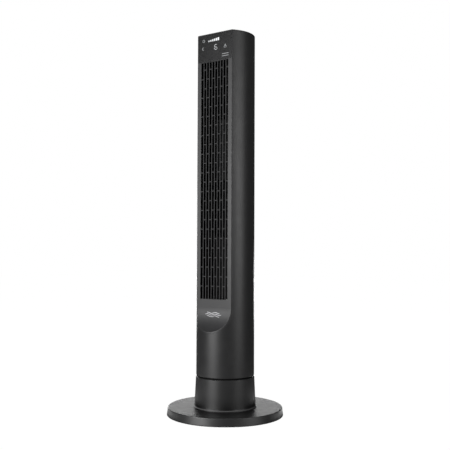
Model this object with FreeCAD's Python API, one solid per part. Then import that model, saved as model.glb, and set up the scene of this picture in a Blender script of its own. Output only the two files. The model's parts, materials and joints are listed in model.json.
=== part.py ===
import FreeCAD, Part
import math
import os

# Tower fan, 914 mm tall, on a round weighted base, as an assembly of separate pieces.
#
# Millimetres, +Z up. The origin is the centre of the base, where its feet stand. The fan blows towards -Y.
# The column turns on the neck about +Z, driven by a pinion that rolls round a fixed gear. The blower turns
# about its own upright axis inside the column. The five buttons on the top travel along -Z.

Vector = FreeCAD.Vector

# ---------------------------------------------------------------- driving dimensions
HEIGHT = 914.0
COLUMN_R = 69.5            # outside of the round column
WALL = 2.4                 # moulded wall thickness
FLAT = 48.5                # from the column's axis to its flat front
SEAM = 0.25                # reveal between two covers
SNUG = 0.1                 # clearance round a piece that is pushed into another
RUNNING = 0.04             # radial clearance of a shaft in its bush

FOOT_H = 2.0
BASE_R = 139.0             # base at the floor
RIM_R = 137.0              # base at the rim of its top
RIM_Z = 21.0               # top of the base
NECK_FOOT_R = 72.8
NECK_TOP_R = 70.2
NECK_Z1 = 93.2
COLUMN_Z0 = 96.7           # the column starts above a shadow gap

SCOOP_TOP = 257.7          # from here down the flat front curves outwards
SCOOP_BOTTOM = 203.2       # here it meets the round column
GRILLE_Z0 = 278.0
GRILLE_Z1 = 845.6
GRILLE_HALF_W = 39.6
PANEL_Z0 = 846.4           # dark display panel from here to the top
CAP_T = 2.6
CAP_Z = HEIGHT - CAP_T     # underside of the top cap
SPLIT_Y = 6.0              # the front and rear housings meet here

SPIN_Y = 8.0               # the blower's axis is at (0, SPIN_Y)
ROTOR_Z0 = 282.0
SEGMENTS = 4
SEGMENT_H = 141.0
ROTOR_Z1 = ROTOR_Z0 + SEGMENTS * SEGMENT_H
SHAFT_R = 4.0
SWING_TEETH = 54           # fixed gear
PINION_TEETH = 18
GEAR_MODULE = 1.0
PINION_Y = -GEAR_MODULE * (SWING_TEETH + PINION_TEETH) / 2

SCREW_CIRCLE_R = 58.5      # neck, pivot plate and turntable are all screwed on this circle
CORNERS = (45, 135, 225, 315)
SCREW_LEVELS = (130.0, 345.0, 600.0, 862.0)
HOUSING_SCREW_X = 51.0
SIDES = (-1, 1)

PILOT_R = 1.65             # hole that a screw cuts its thread in
CLEARANCE_HOLE_R = 2.0
SCREW_R = 1.6
SCREW_HEAD_R = 3.2
SCREW_HEAD_H = 2.2
CROSS_HALF_W = 1.8         # recess in a screw's head
CROSS_HALF_T = 0.4
CROSS_DEPTH = 1.1


# ---------------------------------------------------------------- small helpers
def cylinder(radius, z0, z1, x=0.0, y=0.0):
    """Upright cylinder from z0 to z1."""
    return Part.makeCylinder(radius, z1 - z0, Vector(x, y, z0))


def ring(outer, inner, z0, z1, x=0.0, y=0.0):
    """Upright tube from z0 to z1."""
    return cylinder(outer, z0, z1, x, y).cut(cylinder(inner, z0 - 1, z1 + 1, x, y))


def block(x0, x1, y0, y1, z0, z1):
    """Box between two corners, given in either order."""
    low = Vector(min(x0, x1), min(y0, y1), min(z0, z1))
    return Part.makeBox(abs(x1 - x0), abs(y1 - y0), abs(z1 - z0), low)


def rod(radius, start, end):
    """Cylinder between two points."""
    start, end = Vector(start), Vector(end)
    return Part.makeCylinder(radius, (end - start).Length, start, end - start)


def polar(radius, degrees):
    """X and Y of a point at that radius, counted from +X towards +Y."""
    turn = math.radians(degrees)
    return radius * math.cos(turn), radius * math.sin(turn)


def prism(points, z0, z1):
    """Upright prism over a closed outline of XY points."""
    corners = [Vector(x, y, z0) for x, y in points]
    return Part.Face(Part.makePolygon(corners + corners[:1])).extrude(Vector(0, 0, z1 - z0))


def revolved(points):
    """Solid of revolution about Z of a closed outline of (radius, z) points."""
    corners = [Vector(r, 0, z) for r, z in points]
    face = Part.Face(Part.makePolygon(corners + corners[:1]))
    return face.revolve(Vector(0, 0, 0), Vector(0, 0, 1), 360)


def fused(shapes):
    """One shape from several that touch or overlap."""
    first, *others = shapes
    return first.multiFuse(others).removeSplitter() if others else first


def without(shape, tools):
    """The shape with all the tools cut away in one go."""
    return shape.cut(Part.makeCompound(tools))


def fillet_where(shape, radius, wanted):
    """Rounds the edges that pass the test, which gets each edge and its middle point."""
    edges = [e for e in shape.Edges if wanted(e, e.valueAt((e.FirstParameter + e.LastParameter) / 2))]
    return shape.makeFillet(radius, edges)


def thick_path(points, thickness, z0, z1):
    """Upright wall along a path of XY points, with its thickness on the left of the path."""
    left = []
    for i, (x, y) in enumerate(points):
        before = points[max(i - 1, 0)]
        after = points[min(i + 1, len(points) - 1)]
        arriving = math.atan2(y - before[1], x - before[0]) if i else None
        leaving = math.atan2(after[1] - y, after[0] - x) if i < len(points) - 1 else arriving
        arriving = leaving if arriving is None else arriving
        half_turn = math.atan2(math.sin(leaving - arriving), math.cos(leaving - arriving)) / 2
        normal = arriving + half_turn + math.pi / 2
        reach = thickness / math.cos(half_turn)
        left.append((x + reach * math.cos(normal), y + reach * math.sin(normal)))
    return prism(points + left[::-1], z0, z1)


def smooth_wire(points, share=0.45):
    """Straight runs joined by tangent arcs, each as large as share of its shorter run allows."""
    corners = [Vector(p) for p in points]
    edges, start = [], corners[0]
    for before, corner, after in zip(corners, corners[1:], corners[2:]):
        back, ahead = before - corner, after - corner
        trim = share * min(back.Length, ahead.Length)
        back.normalize()
        ahead.normalize()
        into, out_of = corner + back * trim, corner + ahead * trim
        half_angle = back.getAngle(ahead) / 2
        bisector = back + ahead
        bisector.normalize()
        radius = trim * math.tan(half_angle)
        middle = corner + bisector * (trim / math.cos(half_angle) - radius)
        edges.append(Part.LineSegment(start, into).toShape())
        edges.append(Part.Arc(into, middle, out_of).toShape())
        start = out_of
    edges.append(Part.LineSegment(start, corners[-1]).toShape())
    return Part.Wire(edges)


def swept(points, radius):
    """Round tube along a smooth wire."""
    path = smooth_wire(points)
    first = path.Edges[0]
    circle = Part.Circle(first.valueAt(first.FirstParameter), first.tangentAt(first.FirstParameter), radius)
    return path.makePipeShell([Part.Wire([circle.toShape()])], True, False)


def screw(seat, direction, length):
    """Cross recessed screw: its head sits on the point seat and its shank runs along direction."""
    head = cylinder(SCREW_HEAD_R, -SCREW_HEAD_H, 0)
    shank = cylinder(SCREW_R, -0.5, length)
    wide, thin, floor = CROSS_HALF_W, CROSS_HALF_T, CROSS_DEPTH - SCREW_HEAD_H
    cross = [block(-wide, wide, -thin, thin, -SCREW_HEAD_H - 1, floor),
             block(-thin, thin, -wide, wide, -SCREW_HEAD_H - 1, floor)]
    made = without(fused([head, shank]), cross)
    made.Placement = FreeCAD.Placement(Vector(seat), FreeCAD.Rotation(Vector(0, 0, 1), Vector(direction)))
    return made


def stake(root, near, far):
    """Moulded post from root to a board's near face, with a pin through the board and a flattened head."""
    root, near, far = Vector(root), Vector(near), Vector(far)
    outwards = (far - near).normalize()
    post, pin_r, head_r, head_h = 2.4, 1.2, 2.0, 0.8
    return fused([rod(post, root, near), rod(pin_r, near, far), rod(head_r, far, far + outwards * head_h)])


def screw_circle():
    """XY places of the four screws that the neck, its plate and the turntable share."""
    return [polar(SCREW_CIRCLE_R, a) for a in CORNERS]


# ---------------------------------------------------------------- the column's outline
SCOOP_DEPTH = COLUMN_R - FLAT
SCOOP_R = ((SCOOP_TOP - SCOOP_BOTTOM) ** 2 + SCOOP_DEPTH**2) / (2 * SCOOP_DEPTH)


def space_in_front(set_back):
    """Everything in front of the flat and its scoop, with that surface moved back into the column."""
    side, reach, above = 100.0, COLUMN_R + 6, HEIGHT + 10
    radius = SCOOP_R + set_back
    centre_y = -FLAT - SCOOP_R

    def on_arc(turn):
        return Vector(-side, centre_y + radius * math.cos(turn), SCOOP_TOP - radius * math.sin(turn))

    end_turn = math.acos((-COLUMN_R - 1.5 - centre_y) / radius)
    top_front = Vector(-side, -reach, above)
    top_back = Vector(-side, -FLAT + set_back, above)
    low_front = Vector(-side, -reach, on_arc(end_turn).z)
    outline = [
        Part.LineSegment(top_front, top_back).toShape(),
        Part.LineSegment(top_back, on_arc(0)).toShape(),
        Part.Arc(on_arc(0), on_arc(end_turn / 2), on_arc(end_turn)).toShape(),
        Part.LineSegment(on_arc(end_turn), low_front).toShape(),
        Part.LineSegment(low_front, top_front).toShape(),
    ]
    return Part.Face(Part.Wire(outline)).extrude(Vector(2 * side, 0, 0))


def front_layer(set_back, depth):
    """Layer that follows the flat and the scoop, depth thick behind that set back."""
    return space_in_front(set_back + depth).cut(space_in_front(set_back))


def column_section(z0, z1, inset=0.0):
    """Solid section of the upper column: round with the flat front."""
    section = cylinder(COLUMN_R - inset, z0, z1)
    return section.cut(block(-90, 90, -90, -FLAT + inset, z0 - 1, z1 + 1))


# ---------------------------------------------------------------- base
COVER_WALL = 2.4
WEIGHT_OUTER_R = 118.0
WEIGHT_INNER_R = 84.0
WEIGHT_H = 6.0
BOTTOM_Z0 = FOOT_H + 0.6
BOTTOM_Z1 = BOTTOM_Z0 + 2.2
FEET_CIRCLE_R = 123.0
FOOT_R = 7.5
FOOT_SOCKET_H = 1.2
BASE_SCREW_CIRCLE_R = 101.0
BASE_SCREW_SEAT_Z = BOTTOM_Z1 - 1.0
SIXTHS = range(0, 360, 60)


def base_screw_places():
    return [polar(BASE_SCREW_CIRCLE_R, a + 30) for a in SIXTHS]


def base_cover():
    """Round cover with a flared skirt, a rounded rim, bosses inside and a flat seat for the neck."""
    under = RIM_Z - COVER_WALL
    hub_r = 30.0
    rim = [(RIM_R - 1.8, RIM_Z), (RIM_R - 0.9, RIM_Z - 0.2), (RIM_R - 0.25, RIM_Z - 0.8)]
    skirt = [(RIM_R, RIM_Z - 1.7), (BASE_R, FOOT_H + 2.0), (BASE_R, FOOT_H + 0.6), (BASE_R - 0.7, FOOT_H)]
    inside = [(BASE_R - 2.6, FOOT_H), (RIM_R - COVER_WALL, under - 1.0), (RIM_R - COVER_WALL - 1.2, under)]
    cover = revolved(rim + skirt + inside + [(hub_r, under), (hub_r, RIM_Z)])
    bosses = [cylinder(4.2, BOTTOM_Z1, under + 0.5, x, y) for x, y in base_screw_places()]
    pilots = [cylinder(PILOT_R, 0, under, x, y) for x, y in base_screw_places()]
    neck_holes = [cylinder(CLEARANCE_HOLE_R, 0, 30, x, y) for x, y in screw_circle()]
    return without(fused([cover] + bosses), pilots + neck_holes)


def base_weight():
    """Steel ring that keeps the fan upright, drilled for the cover's bosses."""
    weight = ring(WEIGHT_OUTER_R, WEIGHT_INNER_R, BOTTOM_Z1, BOTTOM_Z1 + WEIGHT_H)
    return without(weight, [cylinder(4.6, 0, 30, x, y) for x, y in base_screw_places()])


def base_bottom_plate():
    """Disc that closes the base from below, with sockets for the feet and the screw heads."""
    plate = cylinder(BASE_R - 4.2, BOTTOM_Z0, BOTTOM_Z1)
    sockets = [cylinder(FOOT_R + SNUG, 0, FOOT_H + FOOT_SOCKET_H, *polar(FEET_CIRCLE_R, a)) for a in SIXTHS]
    head_wells = [cylinder(SCREW_HEAD_R + 0.4, 0, BASE_SCREW_SEAT_Z, x, y) for x, y in base_screw_places()]
    holes = [cylinder(CLEARANCE_HOLE_R, 0, 30, x, y) for x, y in base_screw_places()]
    return without(plate, sockets + head_wells + holes)


def rubber_feet():
    """Six round pads."""
    return Part.makeCompound(
        [cylinder(FOOT_R, 0, FOOT_H + FOOT_SOCKET_H, *polar(FEET_CIRCLE_R, a)) for a in SIXTHS]
    )


# ---------------------------------------------------------------- neck and pivot
NECK_WALL = 3.2
PIVOT_PLATE_Z0 = 84.0
PIVOT_PLATE_Z1 = 88.0
TURNTABLE_Z0 = 97.0
TURNTABLE_Z1 = 100.0
PIVOT_R = 12.0
PIVOT_BORE_R = 9.0
BUSH_R = 15.0
BUSH_Z0 = 80.0
RETAINER_T = 1.2
RETAINER_Z1 = BUSH_Z0 - 0.2
GLAND_Z = 45.0
CORD_R = 3.6
GLAND_FACE_Y = 75.4        # outer face of the gland
GLAND_R = 8.2


def neck_outside():
    """Outline of the neck's outside, from its lip on the base up to its rounded top edge."""
    return [
        (NECK_FOOT_R + 2.2, RIM_Z), (NECK_FOOT_R + 2.1, RIM_Z + 0.8), (NECK_FOOT_R + 1.5, RIM_Z + 1.8),
        (NECK_FOOT_R + 0.8, RIM_Z + 3.0), (NECK_FOOT_R + 0.3, RIM_Z + 4.4),
        (NECK_TOP_R, NECK_Z1 - 1.2), (NECK_TOP_R - 0.4, NECK_Z1 - 0.35), (NECK_TOP_R - 1.3, NECK_Z1),
    ]


def neck_cavity(grow=0.0):
    """Solid of the neck's tapered inside, made wider by grow."""
    foot_r, top_r = NECK_FOOT_R - NECK_WALL + grow, NECK_TOP_R - NECK_WALL + grow
    return revolved([(0, RIM_Z), (foot_r, RIM_Z), (top_r, NECK_Z1), (0, NECK_Z1)])


def neck_shell():
    """Tapered collar that stands on the base, with four ribbed bosses and a hole for the gland."""
    solid = revolved(neck_outside() + [(0, NECK_Z1), (0, RIM_Z)])
    into_wall = neck_cavity(1.5)
    bosses = []
    for a in CORNERS:
        boss, wall = polar(SCREW_CIRCLE_R, a), polar(NECK_FOOT_R, a)
        rib = thick_path([boss, wall], 2.4, RIM_Z, PIVOT_PLATE_Z0)
        bosses += [cylinder(4.6, RIM_Z, PIVOT_PLATE_Z0, *boss), rib.common(into_wall)]
    pilots = [cylinder(PILOT_R, 0, PIVOT_PLATE_Z1, x, y) for x, y in screw_circle()]
    gland_hole = rod(CORD_R + 2.5 + SNUG, (0, 60, GLAND_Z), (0, 80, GLAND_Z))
    return without(fused([solid.cut(neck_cavity())] + bosses), pilots + [gland_hole])


def cord_gland():
    """Flanged collar and nut in the neck's rear wall, which a supply cord passes through."""
    solid_neck = revolved(neck_outside() + [(0, NECK_Z1), (0, RIM_Z)])
    flange = rod(GLAND_R, (0, 68, GLAND_Z), (0, GLAND_FACE_Y, GLAND_Z)).cut(solid_neck)
    nut = rod(GLAND_R, (0, 63, GLAND_Z), (0, 72, GLAND_Z)).common(neck_cavity())
    barrel = rod(CORD_R + 2.5, (0, 63, GLAND_Z), (0, GLAND_FACE_Y, GLAND_Z))
    bore = rod(CORD_R, (0, 60, GLAND_Z), (0, 80, GLAND_Z))
    return fused([barrel, flange, nut]).cut(bore)


def pivot_plate():
    """Deck screwed onto the neck's bosses."""
    deck = cylinder(NECK_TOP_R - NECK_WALL - 0.5, PIVOT_PLATE_Z0, PIVOT_PLATE_Z1)
    holes = [cylinder(CLEARANCE_HOLE_R, 80, 90, x, y) for x, y in screw_circle()]
    return without(deck, holes + [cylinder(BUSH_R + SNUG / 2, 80, 90)])


def pivot_bush():
    """Flanged bush that the column's hollow pivot turns in."""
    barrel = cylinder(BUSH_R, BUSH_Z0, TURNTABLE_Z0 - 0.3)
    flange = cylinder(BUSH_R + 3.0, BUSH_Z0 + 1.0, PIVOT_PLATE_Z0)
    return fused([barrel, flange]).cut(cylinder(PIVOT_R + RUNNING, 70, 110))


def slide_ring():
    """Low-friction ring that carries the turntable."""
    return ring(54.0, 47.5, PIVOT_PLATE_Z1, TURNTABLE_Z0 - 0.15)


def base_screws():
    """Six screws in the bottom plate, four under the neck and four in the pivot plate."""
    up, down = (0, 0, 1), (0, 0, -1)
    screws = [screw((x, y, BASE_SCREW_SEAT_Z), up, 12) for x, y in base_screw_places()]
    screws += [screw((x, y, RIM_Z - COVER_WALL), up, 12) for x, y in screw_circle()]
    screws += [screw((x, y, PIVOT_PLATE_Z1), down, 12) for x, y in screw_circle()]
    return Part.makeCompound(screws)


def pivot_tube():
    """Hollow steel pivot, flanged on the turntable, with a groove for its retaining ring."""
    flange_top = TURNTABLE_Z1 + 2.5
    tube = fused([cylinder(PIVOT_R, RETAINER_Z1 - 6, flange_top), cylinder(14.0, TURNTABLE_Z1, flange_top)])
    groove = ring(PIVOT_R + 2, PIVOT_R - 1.2, RETAINER_Z1 - RETAINER_T - 0.1, RETAINER_Z1)
    return without(tube, [cylinder(PIVOT_BORE_R, 60, 110), groove])


def retaining_ring():
    """Spring ring under the bush, open at one side."""
    washer = ring(PIVOT_R + 4, PIVOT_R - 1.1, RETAINER_Z1 - RETAINER_T, RETAINER_Z1)
    return washer.cut(block(-3, 3, -20, 0, 70, 80))


# ---------------------------------------------------------------- swing drive
PRESSURE_ANGLE = math.radians(20.0)
GEAR_BACKLASH = 0.16       # taken off each tooth's width at the pitch circle
FLANK_POINTS = 5
PINION_Z0 = 88.6
PINION_Z1 = 94.2
PINION_SHAFT_R = 2.5
SWING_MOTOR_R = 21.0
SWING_MOTOR_H = 17.0
EAR_X = 29.0
EAR_T = 1.6


def gear_outline(teeth, first_tooth_deg):
    """Corners of a spur gear with involute flanks and a tooth centred on first_tooth_deg."""
    pitch_r = GEAR_MODULE * teeth / 2
    base_r = pitch_r * math.cos(PRESSURE_ANGLE)
    tip_r, root_r = pitch_r + GEAR_MODULE, pitch_r - 1.25 * GEAR_MODULE
    flank_start = max(base_r, root_r)

    def half_angle(radius):
        turn = math.acos(min(1.0, base_r / radius))
        at_pitch = math.tan(PRESSURE_ANGLE) - PRESSURE_ANGLE
        return math.pi / (2 * teeth) - GEAR_BACKLASH / (2 * pitch_r) + at_pitch - (math.tan(turn) - turn)

    radii = [flank_start + (tip_r - flank_start) * i / (FLANK_POINTS - 1) for i in range(FLANK_POINTS)]
    flank = [(root_r, half_angle(flank_start))] if root_r < base_r else []
    flank += [(r, half_angle(r)) for r in radii]
    points = []
    for tooth in range(teeth):
        centre = math.radians(first_tooth_deg) + 2 * math.pi * tooth / teeth
        points += [(r * math.cos(centre - a), r * math.sin(centre - a)) for r, a in flank]
        points += [(r * math.cos(centre + a), r * math.sin(centre + a)) for r, a in reversed(flank)]
    return points


def swing_gear():
    """Fixed spur gear round the bush, with a gap between teeth that faces the pinion."""
    half_pitch_deg = 180.0 / SWING_TEETH
    gear = prism(gear_outline(SWING_TEETH, -90 + half_pitch_deg), PIVOT_PLATE_Z1, PINION_Z1 + 0.3)
    return gear.cut(cylinder(BUSH_R + SNUG, 80, 100))


def swing_pinion():
    """Pinion and shaft of the swing motor, which roll round the fixed gear."""
    gear = prism(gear_outline(PINION_TEETH, 90), PINION_Z0, PINION_Z1)
    gear.translate(Vector(0, PINION_Y, 0))
    return fused([gear, cylinder(PINION_SHAFT_R, PINION_Z0, TURNTABLE_Z1 + 6, 0, PINION_Y)])


def swing_motor():
    """Small geared motor that stands on the turntable, with two ears and a terminal block."""
    z = TURNTABLE_Z1
    top = z + SWING_MOTOR_H
    can = cylinder(SWING_MOTOR_R, z, top, 0, PINION_Y)
    can = fillet_where(can, 1.5, lambda edge, p: abs(p.z - top) < 0.1 and edge.Length > 50)
    ears = [block(-EAR_X, EAR_X, PINION_Y - 4, PINION_Y + 4, z, z + EAR_T)]
    ears += [cylinder(4, z, z + EAR_T, side * EAR_X, PINION_Y) for side in SIDES]
    terminal = block(-7, 7, PINION_Y - 24, PINION_Y - 19, z + 5, z + 13)
    holes = [cylinder(CLEARANCE_HOLE_R, z - 1, z + 3, side * EAR_X, PINION_Y) for side in SIDES]
    shaft_hole = cylinder(PINION_SHAFT_R + RUNNING, z - 1, z + 6.4, 0, PINION_Y)
    return without(fused([can, terminal] + ears), holes + [shaft_hole])


def turntable():
    """Floor of the column, with a skirt that darkens the shadow gap."""
    plate = cylinder(COLUMN_R - WALL - SNUG, TURNTABLE_Z0, TURNTABLE_Z1)
    skirt = ring(65.4, 63.2, PIVOT_PLATE_Z1 + 2.8, TURNTABLE_Z0 + 0.5)
    holes = [cylinder(CLEARANCE_HOLE_R, 90, 105, x, y) for x, y in screw_circle()]
    holes += [cylinder(PILOT_R, 90, 105, side * EAR_X, PINION_Y) for side in SIDES]
    holes += [cylinder(PIVOT_R + SNUG, 90, 105), cylinder(PINION_SHAFT_R + 1.5, 90, 105, 0, PINION_Y)]
    return without(fused([plate, skirt]), holes)


# ---------------------------------------------------------------- housings
BOSS_R = 4.2
BOSS_FRONT_Y = -8.0
SCREW_SEAT_Y = 14.0
SCREW_WELL_R = SCREW_HEAD_R + 0.3
COLUMN_BOSS_H = 26.0
MOTOR_BRACKET_Z = 240.0
DUCT_FLOOR_Z = 270.0
DUCT_ROOF_Z = 851.0
PLATE_LEVELS = (MOTOR_BRACKET_Z, DUCT_FLOOR_Z, DUCT_ROOF_Z)
LEDGE_H = 2.0
LEDGE_W = 2.6
TONGUE_T = 1.2
REAR_HALF_DEG = 40.0
REAR_Z0 = 283.0
REAR_Z1 = 846.0
HANDLE_HALF_W = 38.0
HANDLE_Z0 = 862.0
HANDLE_Z1 = 886.0
HANDLE_BACK_Y = 42.0
HANDLE_WALL = 2.4
HOOK_LEVELS = (300.0, 430.0, 560.0, 690.0, 820.0)
HOOK_X = 46.6
HOOK_BACK_Y = -37.0
HOOK_HALF_H = 5.0
POWER_BOARD_Y = 50.0
BOARD_T = 1.6
POWER_BOARD_STAKES = [(x, z) for x in (-24.0, 24.0) for z in (116.0, 166.0)]


def column_shell():
    """Round shell of the whole column below the cap, with ledges under the plates that it holds."""
    inner = COLUMN_R - WALL
    shell = ring(COLUMN_R, inner, COLUMN_Z0, CAP_Z - SEAM)
    shell = fillet_where(shell, 0.8, lambda edge, p: abs(p.z - COLUMN_Z0) < 0.1 and math.hypot(p.x, p.y) > 69)
    ledges = [ring(inner + 0.5, inner - LEDGE_W, z - LEDGE_H, z) for z in PLATE_LEVELS]
    return fused([shell] + ledges)


def column_bosses(side_y):
    """Two ribbed bosses for the turntable's screws, in the front (-1) or rear (+1) half."""
    z0, z1 = TURNTABLE_Z1, TURNTABLE_Z1 + COLUMN_BOSS_H
    made = []
    for side in SIDES:
        a = math.degrees(math.atan2(side_y, side))
        x, y = polar(SCREW_CIRCLE_R, a)
        made.append(cylinder(4.4, z0, z1, x, y))
        made.append(thick_path([(x, y), polar(COLUMN_R - WALL + 0.8, a)], 2.4, z0, z1))
    return made


def column_boss_pilots():
    return [cylinder(PILOT_R, 98, TURNTABLE_Z1 + 14, x, y) for x, y in screw_circle()]


def seam_boss(side, z, y0, y1, rib_y0, rib_y1):
    """Boss along Y at the split between the housings, with a rib out to the wall."""
    x = side * HOUSING_SCREW_X
    boss = rod(BOSS_R, (x, y0, z), (x, y1, z))
    rib = block(x, side * (COLUMN_R - WALL + 0.8), rib_y0, rib_y1, z - 1.1, z + 1.1)
    return [boss, rib.common(cylinder(COLUMN_R - 1, 0, HEIGHT))]


def front_housing():
    """Front half shell: round below the scoop, and two side walls behind the fascia above it."""
    half = column_shell().cut(block(-90, 90, SPLIT_Y - SEAM / 2, 90, 0, HEIGHT + 20))
    half = half.cut(space_in_front(WALL + SEAM))
    details = column_bosses(-1)
    for side in SIDES:
        for z in SCREW_LEVELS:
            details += seam_boss(side, z, BOSS_FRONT_Y, SPLIT_Y - 0.2, BOSS_FRONT_Y, SPLIT_Y - 0.2)
        for z in HOOK_LEVELS:
            ledge = block(side * (HOOK_X + 1.2), side * 60, HOOK_BACK_Y - 4, HOOK_BACK_Y - 2, z - 6, z + 6)
            details.append(ledge.common(cylinder(COLUMN_R - 1, 0, HEIGHT)))
    pilots = [rod(PILOT_R, (side * HOUSING_SCREW_X, -6, z), (side * HOUSING_SCREW_X, 10, z))
              for z in SCREW_LEVELS for side in SIDES]
    return without(fused([half] + details), pilots + column_boss_pilots())


def rear_wedge(half_degrees, z0, z1):
    """Sector about +Y, as wide as the intake window."""
    far = 90.0
    right, left = polar(far, 90 - half_degrees), polar(far, 90 + half_degrees)
    return prism([(0, 0), right, (0, far * 1.6), left], z0, z1)


def rear_tongue():
    """Lip on the rear housing that slides inside the front one, open at its bosses and ledges."""
    inner = COLUMN_R - WALL
    tongue = ring(inner + 0.2, inner - TONGUE_T, COLUMN_Z0 + 6, CAP_Z - 8)
    tongue = tongue.common(block(-90, 90, SPLIT_Y - 2.5, SPLIT_Y + 3, 0, HEIGHT))
    ahead_of_split = block(-90, 90, 0, SPLIT_Y + SEAM / 2, 0, HEIGHT)
    lapping = ring(inner + 1, inner - SNUG / 2, 0, HEIGHT).common(ahead_of_split)
    gaps = [block(side * 44, side * 70, 0, 10, z - 6, z + 6) for z in SCREW_LEVELS for side in SIDES]
    gaps += [block(-70, 70, 0, SPLIT_Y + SEAM / 2, z - LEDGE_H - 0.3, z + 0.3) for z in PLATE_LEVELS]
    return without(tongue, [lapping] + gaps)


def rear_housing():
    """Rear half shell, with the intake and handle windows, screw wells and posts for the power board."""
    half = column_shell().cut(block(-90, 90, -90, SPLIT_Y + SEAM / 2, 0, HEIGHT + 20))
    wall_y = math.sqrt((COLUMN_R - 1.2) ** 2 - (HOUSING_SCREW_X + BOSS_R) ** 2)
    details = [rear_tongue()] + column_bosses(1)
    wells = []
    for side in SIDES:
        x = side * HOUSING_SCREW_X
        for z in SCREW_LEVELS:
            details += seam_boss(side, z, SPLIT_Y, wall_y, SPLIT_Y, SCREW_SEAT_Y)
            wells.append(rod(CLEARANCE_HOLE_R, (x, 0, z), (x, SCREW_SEAT_Y + 1, z)))
            wells.append(rod(SCREW_WELL_R, (x, SCREW_SEAT_Y, z), (x, 80, z)))
    details += [stake((x, 63, z), (x, POWER_BOARD_Y + BOARD_T, z), (x, POWER_BOARD_Y, z))
                for x, z in POWER_BOARD_STAKES]
    handle_window = block(-HANDLE_HALF_W, HANDLE_HALF_W, HANDLE_BACK_Y, 90, HANDLE_Z0, HANDLE_Z1)
    windows = [rear_wedge(REAR_HALF_DEG, REAR_Z0, REAR_Z1), handle_window]
    return without(fused([half] + details), wells + windows + column_boss_pilots())


def column_screws():
    """Eight screws through the rear housing, four under the turntable and two in the swing motor's ears."""
    screws = [screw((side * HOUSING_SCREW_X, SCREW_SEAT_Y, z), (0, -1, 0), 18)
              for z in SCREW_LEVELS for side in SIDES]
    screws += [screw((x, y, TURNTABLE_Z0), (0, 0, 1), 12) for x, y in screw_circle()]
    screws += [screw((side * EAR_X, PINION_Y, TURNTABLE_Z1 + EAR_T), (0, 0, -1), 4) for side in SIDES]
    return Part.makeCompound(screws)


# ---------------------------------------------------------------- rear grille and handle
REAR_SLOT_COLUMNS = 11
REAR_SLOT_PITCH_DEG = 6.9
REAR_SLOT_W = 5.2
REAR_SLOT_ROWS = 13
REAR_SET_BACK = 0.4
BRIDGE_H = 2.2             # short bars across the slots, front and rear


def brick_rows(z0, z1, pitch, shift):
    """Lower and upper ends of the slots in one column, with its joints moved down by shift."""
    count = int((z1 - z0) / pitch)
    joints = [z0 + pitch * (i + 1) - shift for i in range(count)]
    ends = [z0] + [z for z in joints if z0 + pitch / 4 < z < z1 - pitch / 4] + [z1]
    return [(low + BRIDGE_H / 2, high - BRIDGE_H / 2) for low, high in zip(ends, ends[1:])]


def rear_grille():
    """Curved intake grille with slots in a brick pattern."""
    z0, z1 = REAR_Z0 + SNUG, REAR_Z1 - SNUG
    outer = COLUMN_R - REAR_SET_BACK
    panel = ring(outer, outer - WALL, z0, z1).common(rear_wedge(REAR_HALF_DEG - 0.12, z0, z1))
    border = 3.0
    row_pitch = (z1 - z0 - 2 * border) / REAR_SLOT_ROWS
    slots = []
    for column in range(REAR_SLOT_COLUMNS):
        a = 90 + (column - (REAR_SLOT_COLUMNS - 1) / 2) * REAR_SLOT_PITCH_DEG
        for low, high in brick_rows(z0 + border, z1 - border, row_pitch, row_pitch / 2 * (column % 2)):
            slot = block(60, 80, -REAR_SLOT_W / 2, REAR_SLOT_W / 2, low, high)
            slot.rotate(Vector(0, 0, 0), Vector(0, 0, 1), a)
            slots.append(slot)
    return without(panel, slots)


def carry_handle():
    """Pocket behind the rear wall, taller than its window, so that fingers hook up behind the wall."""
    wall = HANDLE_WALL
    hidden_room = 14.0
    outer = block(-HANDLE_HALF_W - wall, HANDLE_HALF_W + wall, HANDLE_BACK_Y - wall, 80,
                  HANDLE_Z0 - wall, HANDLE_Z1 + hidden_room + wall)
    inner = block(-HANDLE_HALF_W, HANDLE_HALF_W, HANDLE_BACK_Y, 80, HANDLE_Z0, HANDLE_Z1 + hidden_room)
    return outer.common(cylinder(COLUMN_R - WALL - SNUG, 0, HEIGHT)).cut(inner)


# ---------------------------------------------------------------- fascia and front grille
SLOT_COLUMNS = 10
SLOT_PITCH = 8.1
SLOT_FRONT_W = 5.9
SLOT_BACK_W = 6.5
SLOT_BACK_RISE = 0.3       # how much higher and lower a slot reaches at its back
GRILLE_T = 2.6
GRILLE_SET_BACK = 0.9
GRILLE_LIP = 3.0           # flange behind the fascia, round the window
SLOT_BORDER = 0.8
BRIDGE_PITCH = 45.1
BRIDGE_FIRST = 309.1       # lowest bar of the first column
BRIDGES = 12
PANEL_T = 1.2
DISPLAY_STAKES = [(x, z) for x in (-36.0, 36.0) for z in (863.0, 897.0)]
DISPLAY_BOARD_Y = -FLAT + 3.9


def fascia_blank():
    """Layer of the flat and the scoop, trimmed to the round column."""
    return front_layer(0.0, WALL).common(cylinder(COLUMN_R, SCOOP_BOTTOM - 10, CAP_Z - SEAM))


def fascia_hook(side, z):
    """Snap finger behind the fascia, with a barb that catches the front housing's ledge."""
    finger = block(side * (HOOK_X - 1.0), side * (HOOK_X + 0.9), -FLAT + WALL - 0.3, HOOK_BACK_Y,
                   z - HOOK_HALF_H, z + HOOK_HALF_H)
    barb = block(side * (HOOK_X + 0.5), side * (HOOK_X + 2.6), HOOK_BACK_Y - 1.8, HOOK_BACK_Y,
                 z - HOOK_HALF_H, z + HOOK_HALF_H)
    return [finger, barb]


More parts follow.
